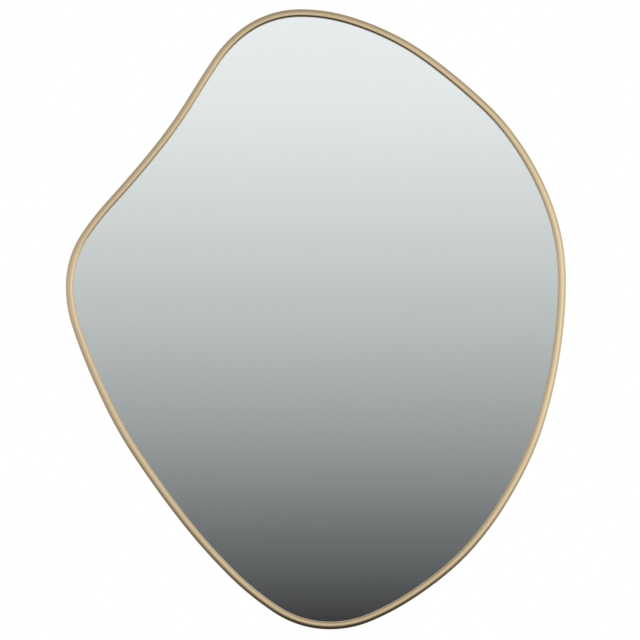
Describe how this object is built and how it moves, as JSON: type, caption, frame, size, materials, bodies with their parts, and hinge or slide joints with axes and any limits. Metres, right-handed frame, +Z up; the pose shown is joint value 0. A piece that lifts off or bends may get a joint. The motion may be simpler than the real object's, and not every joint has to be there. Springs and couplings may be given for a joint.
{
  "type": "irregular wall mirror",
  "caption": "Wall mirror of irregular pebble outline in a slim rounded metal band, with a board back, D-ring hangers that swing up, and rubber wall bumpers.",
  "frame": {"origin": "on the wall plane that the bumpers rest on, at the middle of the overall width and height", "axes": "+X right as the user sees the mirror, +Y into the wall, +Z up"},
  "size_m": [0.645, 0.026, 0.8],
  "materials": {
    "frame_metal": "satin champagne-gold anodised",
    "splice_metal": "mill",
    "mirror_glass": "polished",
    "board": "raw fibreboard",
    "foam_tape": "matte foam",
    "tab_steel": "zinc plated",
    "screw_steel": "zinc plated",
    "strap_steel": "zinc plated",
    "ring_wire": "zinc plated wire",
    "bumper_rubber": "matte"
  },
  "bodies": {
    "mirror": {"back_board": "board", "foam_tape_1": "foam_tape", "foam_tape_2": "foam_tape", "foam_tape_3": "foam_tape", "foam_tape_4": "foam_tape", "foam_tape_5": "foam_tape", "frame_band": "frame_metal", "frame_splice": "splice_metal", "hanger_screws": "screw_steel", "hanger_strap_left": "strap_steel", "hanger_strap_right": "strap_steel", "mirror_glass": "mirror_glass", "retaining_tab_1": "tab_steel", "retaining_tab_2": "tab_steel", "retaining_tab_3": "tab_steel", "retaining_tab_4": "tab_steel", "retaining_tab_5": "tab_steel", "retaining_tab_6": "tab_steel", "retaining_tab_7": "tab_steel", "retaining_tab_8": "tab_steel", "tab_screws": "screw_steel", "wall_bumper_1": "bumper_rubber", "wall_bumper_2": "bumper_rubber", "wall_bumper_3": "bumper_rubber", "wall_bumper_4": "bumper_rubber"},
    "left_ring": {"d_ring_left": "ring_wire"},
    "right_ring": {"d_ring_right": "ring_wire"}
  },
  "joints": [
    {"name": "left_ring_hinge", "type": "hinge", "parent": "mirror", "child": "left_ring", "pos_m": [-0.13501, -0.00422, 0.18], "axis": [1, 0, 0], "range_deg": [0, 180]},
    {"name": "right_ring_hinge", "type": "hinge", "parent": "mirror", "child": "right_ring", "pos_m": [0.16499, -0.00422, 0.18], "axis": [1, 0, 0], "range_deg": [0, 180]}
  ]
}
